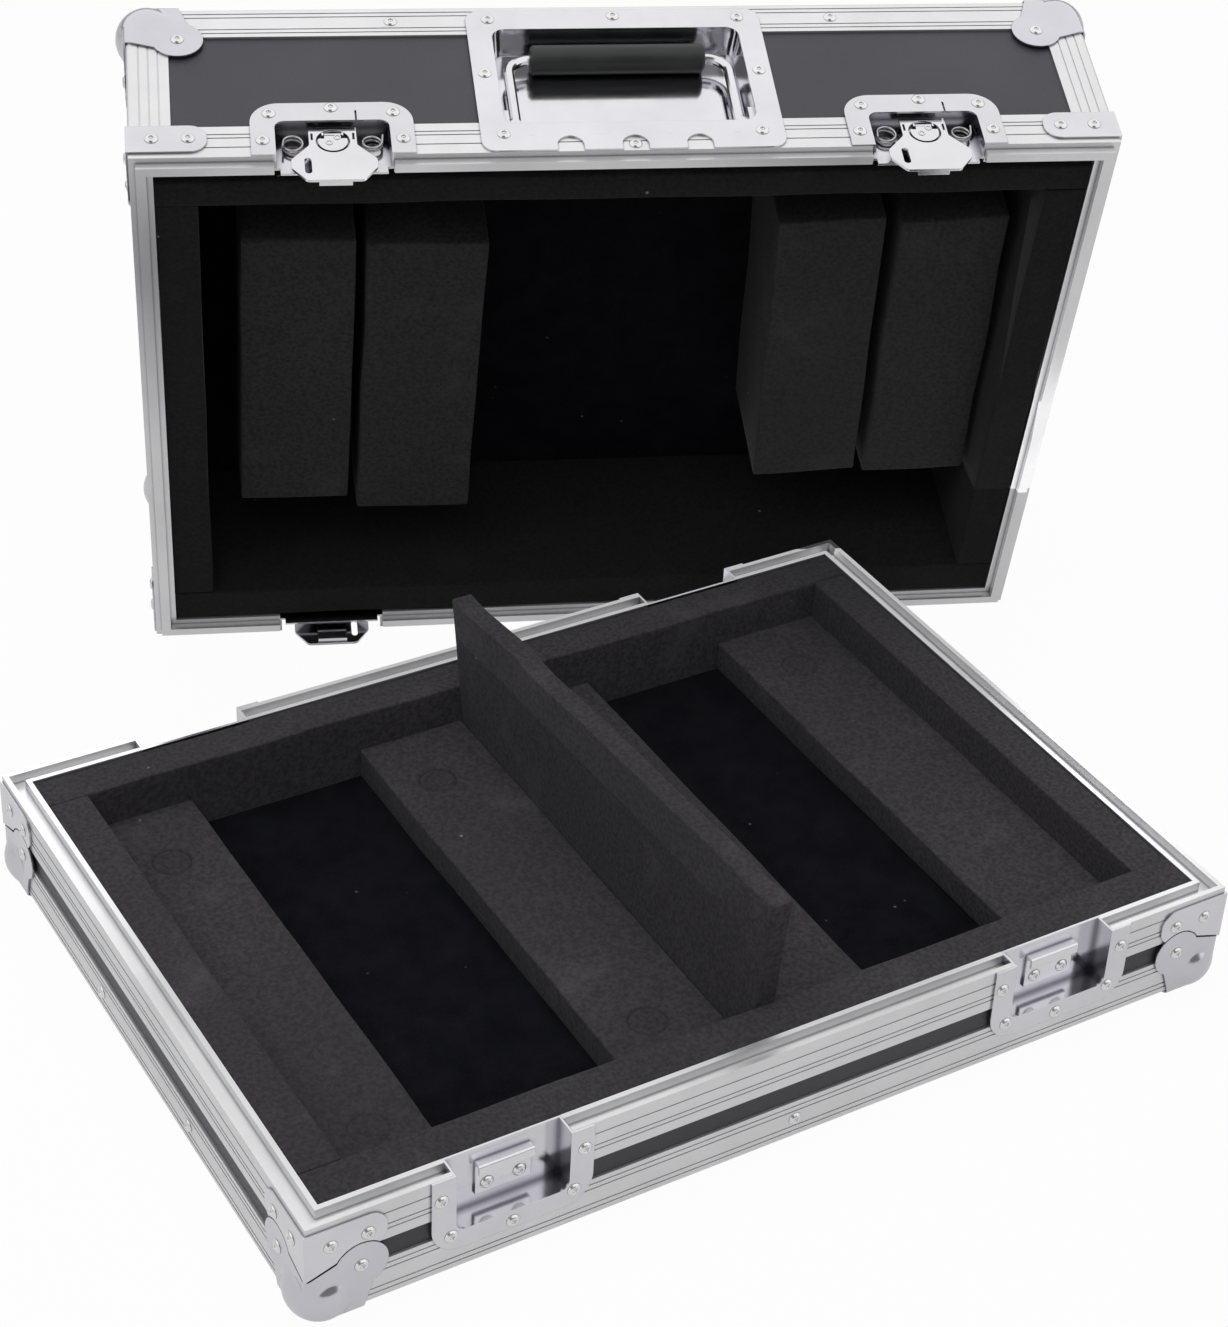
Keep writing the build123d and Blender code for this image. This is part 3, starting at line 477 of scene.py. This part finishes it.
def soft_box(low, high, radius=1.2 * MM, cell=7 * MM, fine=((), (), ())):
    """A bmesh box with rounded edges and a grid on each face."""
    grid = [ticks(low[k], high[k], radius, cell, fine[k]) for k in range(3)]
    mesh = bmesh.new()
    known = {}

    def vertex(index):
        if index not in known:
            p = Vector(grid[k][index[k]] for k in range(3))
            core = Vector(min(max(p[k], low[k] + radius), high[k] - radius) for k in range(3))
            away = p - core
            known[index] = mesh.verts.new(core + away.normalized() * radius)
        return known[index]

    for axis in range(3):
        a, b = (axis + 1) % 3, (axis + 2) % 3
        for end in (0, len(grid[axis]) - 1):
            for i in range(len(grid[a]) - 1):
                for j in range(len(grid[b]) - 1):
                    corners = []
                    for di, dj in ((0, 0), (1, 0), (1, 1), (0, 1)):
                        index = [0, 0, 0]
                        index[axis], index[a], index[b] = end, i + di, j + dj
                        corners.append(vertex(tuple(index)))
                    if end == 0:
                        corners.reverse()
                    mesh.faces.new(corners)
    return mesh


def ripple(mesh, size, depth, seed):
    """Move a mesh's points by smooth noise, as in cut foam."""
    shift = Vector((seed * 3.1, seed * 1.7, seed * 0.9))
    for v in mesh.verts:
        v.co += noise.noise_vector(v.co / size + shift) * depth


def piece_from(mesh, name, place, material, body):
    """Make an object from a mesh in one half's axes and let it ride on a body."""
    mesh.transform(place)
    data = bpy.data.meshes.new(name)
    mesh.to_mesh(data)
    mesh.free()
    data.shade_smooth()
    obj = bpy.data.objects.new(name, data)
    bpy.context.scene.collection.objects.link(obj)
    dress(obj, material)
    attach(obj, body)
    return obj


def pad_from(mesh, name, place, material, body, node):
    """Make a foam or felt piece from a mesh, in place of a node."""
    piece = piece_from(mesh, name, place, material, body)
    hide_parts(node)


def set_outer_face(low, high, axis, sign, extent):
    """Put a wall's outer face at an extent, by moving a corner of its box."""
    if sign < 0:
        low[axis] = -extent
    else:
        high[axis] = extent


def mark_spans(marks):
    """The fine spans of a grid round foot marks, along x, y and z."""
    span = MARK_REACH * MM
    along_x = [(x * MM - span, x * MM + span, MM) for x, _, _, _ in marks]
    along_y = [(y * MM - span, y * MM + span, MM) for _, y, _, _ in marks]
    return along_x, along_y, ()


def press_marks(mesh, level, marks):
    """Press round foot marks, with rings, into a top face."""
    def ring(reach, radius, depth):
        return math.exp(-((reach - radius) / RING_WIDTH) ** 2) * depth

    for v in mesh.verts:
        if v.co.z < level - 0.2 * MM:
            continue
        for x, y, strength, _ in marks:
            reach = math.hypot(v.co.x - x * MM, v.co.y - y * MM) / MM
            if reach > MARK_REACH:
                continue
            rings = ring(reach, MARK_RADIUS, RING_DEPTH) + ring(reach, MARK_INNER, INNER_DEPTH)
            disc = DISC_DEPTH if reach < MARK_RADIUS else 0.0
            v.co.z -= (rings + disc) * strength * MM


def tray_foam():
    """The tray's foam walls, felt lining, strips, centre block and divider."""
    rim = local_box("tray_rim", TRAY)[1]
    for side, axis, sign in (("front", 1, -1), ("rear", 1, 1), ("left", 0, -1), ("right", 0, 1)):
        node = "tray_foam_" + side
        low, high = local_box(node, TRAY)
        set_outer_face(low, high, axis, sign, rim[axis] - (RIM_THICKNESS + FOAM_GAP))
        mesh = soft_box(low, high)
        ripple(mesh, size=60 * MM, depth=0.7 * MM, seed=3 + axis + sign)
        pad_from(mesh, "foam_wall_" + side, TRAY, "foam", "tray", node)
    mesh = soft_box(*local_box("floor_lining", TRAY), cell=12 * MM)
    ripple(mesh, size=30 * MM, depth=0.3 * MM, seed=11)
    pad_from(mesh, "felt_floor", TRAY, "felt", "tray", "floor_lining")
    for side in ("left", "right"):
        node = "foam_strip_" + side
        marks = FOOT_MARKS[node]
        low, high = local_box(node, TRAY)
        mesh = soft_box(low, high, fine=mark_spans(marks))
        press_marks(mesh, high.z, marks)
        ripple(mesh, size=50 * MM, depth=0.6 * MM, seed=17 + marks[0][0])
        pad_from(mesh, "strip_" + side, TRAY, "foam", "tray", node)
    centre_block()
    divider()


def divider_foot():
    """The x of the two faces of the divider's foot, below its twist."""
    foot = [p.x for p in local_points("divider", TRAY) if p.z < DIVIDER_FOOT]
    return min(foot), max(foot)


def centre_block():
    """The centre block as two halves, one each side of the divider's slot."""
    low, high = local_box("foam_block_centre", TRAY)
    left, right = divider_foot()
    marks = FOOT_MARKS["foam_block_centre"]
    halves = (
        (low.x, left - SLOT_GAP, mark_spans(marks)),
        (right + SLOT_GAP, high.x, ((), (), ())),
    )
    whole = bmesh.new()
    for start, end, spans in halves:
        half = soft_box(Vector((start, low.y, low.z)), Vector((end, high.y, high.z)), fine=spans)
        press_marks(half, high.z, marks)
        data = bpy.data.meshes.new("half")
        half.to_mesh(data)
        half.free()
        whole.from_mesh(data)
        bpy.data.meshes.remove(data)
    ripple(whole, size=50 * MM, depth=0.6 * MM, seed=29)
    pad_from(whole, "centre_block", TRAY, "foam", "tray", "foam_block_centre")


def mean_x(points):
    """The mean x of some points."""
    return sum((p.x for p in points), 0.0) / len(points)


def divider():
    """The divider board, twisted a little above the block and gently wavy."""
    low, high = local_box("divider", TRAY)
    left, right = divider_foot()
    middle = (left + right) / 2
    top = [p for p in local_points("divider", TRAY) if p.z > high.z - MM]
    rear = [p for p in top if p.y > 0]
    front = [p for p in top if p.y < 0]
    twist = math.atan2(mean_x(front) - mean_x(rear), high.y - low.y)
    corners = Vector((left, low.y, low.z)), Vector((right, high.y, high.z))
    mesh = soft_box(*corners, radius=1.0 * MM, cell=6 * MM)
    for v in mesh.verts:
        rise = max(0.0, (v.co.z - DIVIDER_STRAIGHT) / (high.z - DIVIDER_STRAIGHT))
        turned = Matrix.Rotation(twist * rise, 3, "Z") @ Vector((v.co.x - middle, v.co.y, 0))
        v.co.x = middle + turned.x
        wave = noise.noise(Vector((v.co.y / (38 * MM), v.co.z / (60 * MM), 5.0)))
        v.co.x += wave * DIVIDER_WAVE * rise
    pad_from(mesh, "divider_board", TRAY, "foam", "divider", "divider")


def lid_foam():
    """The lid's foam walls, back lining and blocks."""
    rim = local_box("lid_rim", LID)[1]
    pocket = local_box("handle_dish", LID)[0]
    for side, axis, sign in (("front", 1, 1), ("rear", 1, -1), ("left", 0, -1), ("right", 0, 1)):
        node = "lid_foam_" + side
        low, high = local_box(node, LID)
        extent = rim[axis] - RIM_THICKNESS - FOAM_GAP
        if side == "front":
            extent = pocket.y - FOAM_GAP
        set_outer_face(low, high, axis, sign, extent)
        mesh = soft_box(low, high)
        ripple(mesh, size=60 * MM, depth=0.8 * MM, seed=41 + 2 * axis + sign)
        pad_from(mesh, "lid_wall_" + side, LID, "lid_foam", "lid", node)
    mesh = soft_box(*local_box("lid_back_lining", LID), cell=12 * MM)
    ripple(mesh, size=60 * MM, depth=0.8 * MM, seed=53)
    pad_from(mesh, "lid_felt", LID, "felt", "lid", "lid_back_lining")
    for number, name in enumerate(("outer_left", "inner_left", "inner_right", "outer_right")):
        node = "lid_block_" + name
        place, size = block_axes(node)
        half = size / 2
        mesh = soft_box(-half, half, radius=1.4 * MM)
        ripple(mesh, size=55 * MM, depth=1.1 * MM, seed=61 + 4 * number)
        pad_from(mesh, "block_" + name, place, "block_foam_shaded", "lid", node)


def block_axes(node):
    """The middle and size of a turned block in the lid, from its corners."""
    points = local_points(node, LID)
    low, high = local_box(node, LID)
    middle = (low + high) / 2
    corner = max(points, key=lambda p: (p.y, p.x))
    plan = {(round(p.x, 5), round(p.y, 5)) for p in points}
    others = sorted(plan, key=lambda q: math.dist(q, corner.xy))
    near = next(q for q in others if math.dist(q, corner.xy) > MM)
    width = math.dist(near, corner.xy)
    far = next(q for q in others if math.dist(q, corner.xy) > 1.5 * width)
    length = math.dist(far, corner.xy)
    turn = math.atan2(corner.y - far[1], corner.x - far[0]) - math.pi / 2
    place = LID @ Matrix.Translation(middle) @ Matrix.Rotation(turn, 4, "Z")
    return place, Vector((width, length, high.z - low.z))


# Metal pieces

def islands(node):
    """The vertex groups of a node's separate solids, as points."""
    mesh = bmesh.new()
    mesh.from_mesh(nodes[node].data)
    bmesh.ops.remove_doubles(mesh, verts=mesh.verts, dist=1e-6)
    seen = set()
    groups = []
    for start in mesh.verts:
        if start in seen:
            continue
        seen.add(start)
        stack = [start]
        group = []
        while stack:
            v = stack.pop()
            group.append(v.co.copy())
            for edge in v.link_edges:
                other = edge.other_vert(v)
                if other not in seen:
                    seen.add(other)
                    stack.append(other)
        groups.append(group)
    mesh.free()
    return groups


def plane_normal(points):
    """The normal of the plane through a ring of points."""
    middle = sum(points, Vector()) / len(points)
    a = points[0] - middle
    b = max((p - middle for p in points), key=lambda d: a.cross(d).length)
    return a.cross(b).normalized()


def rivet_seats(node):
    """Each rivet head's base centre, outward direction and radius, from its faceted solid."""
    seats = []
    for group in islands(node):
        middle = sum(group, Vector()) / len(group)
        base = sorted(group, key=lambda p: -(p - middle).length)[:len(group) // 2]
        top = [p for p in group if p not in base]
        base_middle = sum(base, Vector()) / len(base)
        out = plane_normal(base)
        if out.dot(sum(top, Vector()) / len(top) - base_middle) < 0:
            out.negate()
        seats.append((base_middle, out, max((p - base_middle).length for p in base)))
    return seats


def rivet_heads(node, name, body):
    """Round rivet heads with a hollow centre whose bottom is painted shade, in place of the faceted
    ones.
    """
    mesh = bmesh.new()
    for base, out, radius in rivet_seats(node):
        turn = out.to_track_quat("Z", "Y").to_matrix()
        rings = []
        for share, rise in RIVET_PROFILE:
            ring = []
            reach = radius * share
            for k in range(RIVET_SIDES):
                angle = 2 * math.pi * k / RIVET_SIDES
                p = Vector((reach * math.cos(angle), reach * math.sin(angle), rise * RIVET_HEIGHT))
                ring.append(mesh.verts.new(base + turn @ p))
            rings.append(ring)
        for low_ring, high_ring in zip(rings, rings[1:]):
            for k in range(RIVET_SIDES):
                after = (k + 1) % RIVET_SIDES
                mesh.faces.new((low_ring[k], low_ring[after], high_ring[after], high_ring[k]))
        # The hollow's bottom and the lowest band of its sides are near black: painted shade of the
        # hole
        mesh.faces.new(rings[-1]).material_index = 1
        mesh.faces.new(list(reversed(rings[0])))
        for face in {f for v in rings[-1] for f in v.link_faces}:
            face.material_index = 1
    piece = piece_from(mesh, name, Matrix.Identity(4), "rivet_steel", body)
    piece.data.materials.append(materials["rivet_hole_shade"])
    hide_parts(node)


def tube(mesh, points, radius, sides):
    """Add a round tube with flat ends along a line of points."""
    last = len(points) - 1
    side = (points[1] - points[0]).normalized().orthogonal().normalized()
    turns = [2 * math.pi * k / sides for k in range(sides)]
    rings = []
    for k, point in enumerate(points):
        way = (points[min(k + 1, last)] - points[max(k - 1, 0)]).normalized()
        side = (side - way * side.dot(way)).normalized()
        other = way.cross(side)
        around = [(side * math.cos(t) + other * math.sin(t)) * radius for t in turns]
        rings.append([mesh.verts.new(point + offset) for offset in around])
    for ring, after in zip(rings, rings[1:]):
        for k in range(sides):
            n = (k + 1) % sides
            mesh.faces.new((ring[k], ring[n], after[n], after[k]))
    mesh.faces.new(list(reversed(rings[0])))
    mesh.faces.new(rings[-1])


def spring_line():
    """The points of a latch spring's centre line, a coil along z with a straight tail."""
    steps = SPRING_STEPS_PER_TURN * SPRING_TURNS
    points = []
    for k in range(steps + 1):
        turn = 2 * math.pi * SPRING_TURNS * k / steps
        x, y = SPRING_RADIUS * math.cos(turn), SPRING_RADIUS * math.sin(turn)
        points.append(Vector((x, y, SPRING_PITCH * turn / (2 * math.pi))))
    way = (points[-1] - points[-2]).normalized()
    return points + [points[-1] + way * SPRING_TAIL]


def latch_springs():
    """The eight latch springs as round wire."""
    mesh = bmesh.new()
    line = spring_line()
    for name in LATCH_NAMES:
        place = latch_place(name)
        for sign in (-1, 1):
            seat = Matrix(((sign, 0, 0), (0, 0, -1), (0, sign, 0))).to_4x4()
            seat.translation = (sign * SPRING_SIDE, SPRING_DEPTH, -SPRING_DROP)
            tube(mesh, [place @ seat @ p for p in line], SPRING_WIRE / 2, SPRING_WIRE_SIDES)
    bmesh.ops.recalc_face_normals(mesh, faces=mesh.faces)
    here = Matrix.Identity(4)
    coils = piece_from(mesh, "spring_coils", here, "spring_wire", "lid")
    coils.data.set_sharp_from_angle(angle=math.radians(60))
    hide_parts("latch_springs")


# Nodes whose finish, painted shade or smoothing angle differs from the rest of their slot
FINISHES = {
    "handle_dish": "pan_steel",
    "tray_ball_corners": "ball_steel",
    "lid_ball_corners": "ball_steel",
    "catch_dishes": "dish_steel",
    "latch_dishes": "dish_steel",
}
SMOOTHED = {"handle_bail": 70, "tray_ball_corners": 50, "lid_ball_corners": 50}
USUAL_SMOOTHED = 28


def dress_nodes():
    """Give every CAD node the finish of its slot or its own, with smooth round faces."""
    for part in record["subparts"]:
        name = part["node"]
        obj = nodes[name]
        dress(obj, FINISHES.get(name, part["material_slot"]))
        obj.data.shade_smooth()
        angle = math.radians(SMOOTHED.get(name, USUAL_SMOOTHED))
        obj.data.set_sharp_from_angle(angle=angle)


# Stage, light and camera

def make_floor():
    """A pale floor that shows white to the camera and in metal, and keeps a soft shadow."""
    mesh = bmesh.new()
    bmesh.ops.create_grid(mesh, x_segments=4, y_segments=4, size=FLOOR_SIZE)
    data = bpy.data.meshes.new("floor")
    mesh.to_mesh(data)
    mesh.free()
    floor = bpy.data.objects.new("floor", data)
    bpy.context.scene.collection.objects.link(floor)
    s = Shader("floor")
    s.set(color=rgb(0.58, 0.58, 0.585), rough=0.9, specular=0.1)
    rays = s.node("ShaderNodeLightPath")
    white = s.node("ShaderNodeEmission", {"Color": rgb(1, 1, 1), "Strength": 1.0})
    seen = s.math("MULTIPLY", rays.outputs["Is Camera Ray"], FLOOR_SEEN)
    mirrored = s.math("MULTIPLY", rays.outputs["Is Glossy Ray"], FLOOR_MIRRORED)
    share = s.math("ADD", seen, mirrored)
    mixed = s.node("ShaderNodeMixShader", {0: share, 1: s.bsdf.outputs[0], 2: white.outputs[0]})
    s.plug(s.output.inputs["Surface"], mixed)
    data.materials.append(s.material)


def make_world():
    """Even white surroundings, in which metal also mirrors the darker parts of a studio."""
    world = bpy.data.worlds.new("studio")
    bpy.context.scene.world = world
    world.use_nodes = True
    tree = world.node_tree
    back = tree.nodes["Background"]

    def math_node(operation, *values):
        made = tree.nodes.new("ShaderNodeMath")
        made.operation = operation
        for socket, value in zip(made.inputs, values):
            if isinstance(value, bpy.types.NodeSocket):
                tree.links.new(value, socket)
            else:
                socket.default_value = value
        return made.outputs[0]

    def ramp(value, edges, start, end):
        made = tree.nodes.new("ShaderNodeMapRange")
        made.interpolation_type = "SMOOTHSTEP"
        tree.links.new(value, made.inputs["Value"])
        for socket, limit in zip(list(made.inputs)[1:5], (*edges, start, end)):
            socket.default_value = limit
        return made.outputs[0]

    rays = tree.nodes.new("ShaderNodeLightPath").outputs
    way = tree.nodes.new("ShaderNodeTexCoord").outputs["Generated"]
    parts = tree.nodes.new("ShaderNodeSeparateXYZ")
    tree.links.new(way, parts.inputs[0])
    rearward, height = parts.outputs["Y"], parts.outputs["Z"]
    facing = tree.nodes.new("ShaderNodeVectorMath")
    facing.operation = "DOT_PRODUCT"
    tree.links.new(way, facing.inputs[0])
    facing.inputs[1].default_value = PATCH_SIDE
    patch = ramp(facing.outputs["Value"], PATCH_EDGES, 0.0, PATCH_DARK)
    off_band = math_node("ABSOLUTE", math_node("SUBTRACT", height, BAND_HEIGHT))
    band = math_node("MULTIPLY", ramp(off_band, BAND_EDGES, BAND_DARK, 0.0),
                     ramp(rearward, BAND_SIDE_EDGES, 0.0, 1.0))
    front = math_node("MULTIPLY", ramp(rearward, FRONT_SIDE_EDGES, FRONT_DARK, 0.0),
                      ramp(height, FRONT_HEIGHT_EDGES, 1.0, 0.0))
    dark = math_node("MAXIMUM", patch, math_node("MAXIMUM", band, front))
    dark = math_node("MULTIPLY", dark, rays["Is Glossy Ray"])
    seen = math_node("MAXIMUM", rays["Is Camera Ray"], rays["Is Glossy Ray"])
    level = ramp(seen, (0.0, 1.0), WORLD_LIGHT, WORLD_SEEN)
    strength = math_node("MULTIPLY", math_node("SUBTRACT", 1.0, dark), level)
    tree.links.new(strength, back.inputs["Strength"])
    back.inputs["Color"].default_value = rgb(1, 1, 1)


def area_light(name, place, target, size, power):
    """A square soft box that looks at a point. Metal mirrors the white studio, not the box."""
    light = bpy.data.lights.new(name, "AREA")
    light.shape = "SQUARE"
    light.size = size
    light.energy = power
    obj = bpy.data.objects.new(name, light)
    obj.location = place
    obj.rotation_mode = "QUATERNION"
    obj.rotation_quaternion = (Vector(target) - Vector(place)).to_track_quat("-Z", "Y")
    obj.visible_glossy = False
    bpy.context.scene.collection.objects.link(obj)


def reflector(name, place, facing, turn, width, depth):
    """A white card that only shows in metal: it lights nothing and nothing else sees it."""
    light = bpy.data.lights.new(name, "AREA")
    light.shape = "RECTANGLE"
    light.size = width
    light.size_y = depth
    light.energy = math.pi * width * depth * CARD_LIGHT
    obj = bpy.data.objects.new(name, light)
    tilt = Vector(facing).to_track_quat("-Z", "Y")
    obj.rotation_mode = "QUATERNION"
    obj.rotation_quaternion = tilt @ Matrix.Rotation(turn, 3, "Z").to_quaternion()
    obj.location = place
    obj.visible_camera = False
    obj.visible_diffuse = False
    obj.visible_transmission = False
    obj.visible_volume_scatter = False
    bpy.context.scene.collection.objects.link(obj)


def make_cards():
    """A card over the tray for the lid's rim, and one before the lid for the tray's rear rim."""
    along = LID.to_3x3() @ Vector((1, 0, 0))
    lid_turn = math.atan2(along.y, along.x)
    reflector("tray_card", (-0.05, 0.02, 0.10), (0, 0, 1), lid_turn, width=0.95, depth=0.26)
    reflector("lid_card", (0.08, 0.24, 0.17), (-0.35, -0.80, -0.10), 0.0, width=0.9, depth=0.28)


def make_camera():
    """The camera where the photograph was taken from."""
    azimuth = math.radians(CAMERA_AZIMUTH)
    elevation = math.radians(CAMERA_ELEVATION)
    roll = math.radians(CAMERA_ROLL)
    level = math.cos(elevation)
    back = Vector((math.sin(azimuth) * level, -math.cos(azimuth) * level, math.sin(elevation)))
    right = (-back).cross(Vector((0, 0, 1))).normalized()
    up = right.cross(-back)
    tilted_right = right * math.cos(roll) + up * math.sin(roll)
    tilted_up = up * math.cos(roll) - right * math.sin(roll)
    data = bpy.data.cameras.new("camera")
    camera = bpy.data.objects.new("camera", data)
    camera.matrix_world = Matrix((
        (tilted_right.x, tilted_up.x, back.x, CAMERA_PLACE.x),
        (tilted_right.y, tilted_up.y, back.y, CAMERA_PLACE.y),
        (tilted_right.z, tilted_up.z, back.z, CAMERA_PLACE.z),
        (0, 0, 0, 1),
    ))
    long_side = max(PHOTO_WIDTH, PHOTO_HEIGHT)
    data.sensor_width = SENSOR
    data.lens = SENSOR * FOCAL_PIXELS / long_side
    data.shift_x = -(PRINCIPAL_POINT[0] - PHOTO_WIDTH / 2) / long_side
    data.shift_y = (PRINCIPAL_POINT[1] - PHOTO_HEIGHT / 2) / long_side
    bpy.context.scene.collection.objects.link(camera)
    bpy.context.scene.camera = camera


bpy.context.scene.view_settings.view_transform = "Standard"
noise.seed_set(WAVE_SEED)
dress_nodes()
tray_foam()
lid_foam()
rivet_heads("tray_rivets", "tray_rivet_heads", "tray")
rivet_heads("lid_rivets", "lid_rivet_heads", "lid")
latch_springs()
make_floor()
make_world()
for lamp in LAMPS:
    area_light(*lamp)
make_cards()
make_camera()
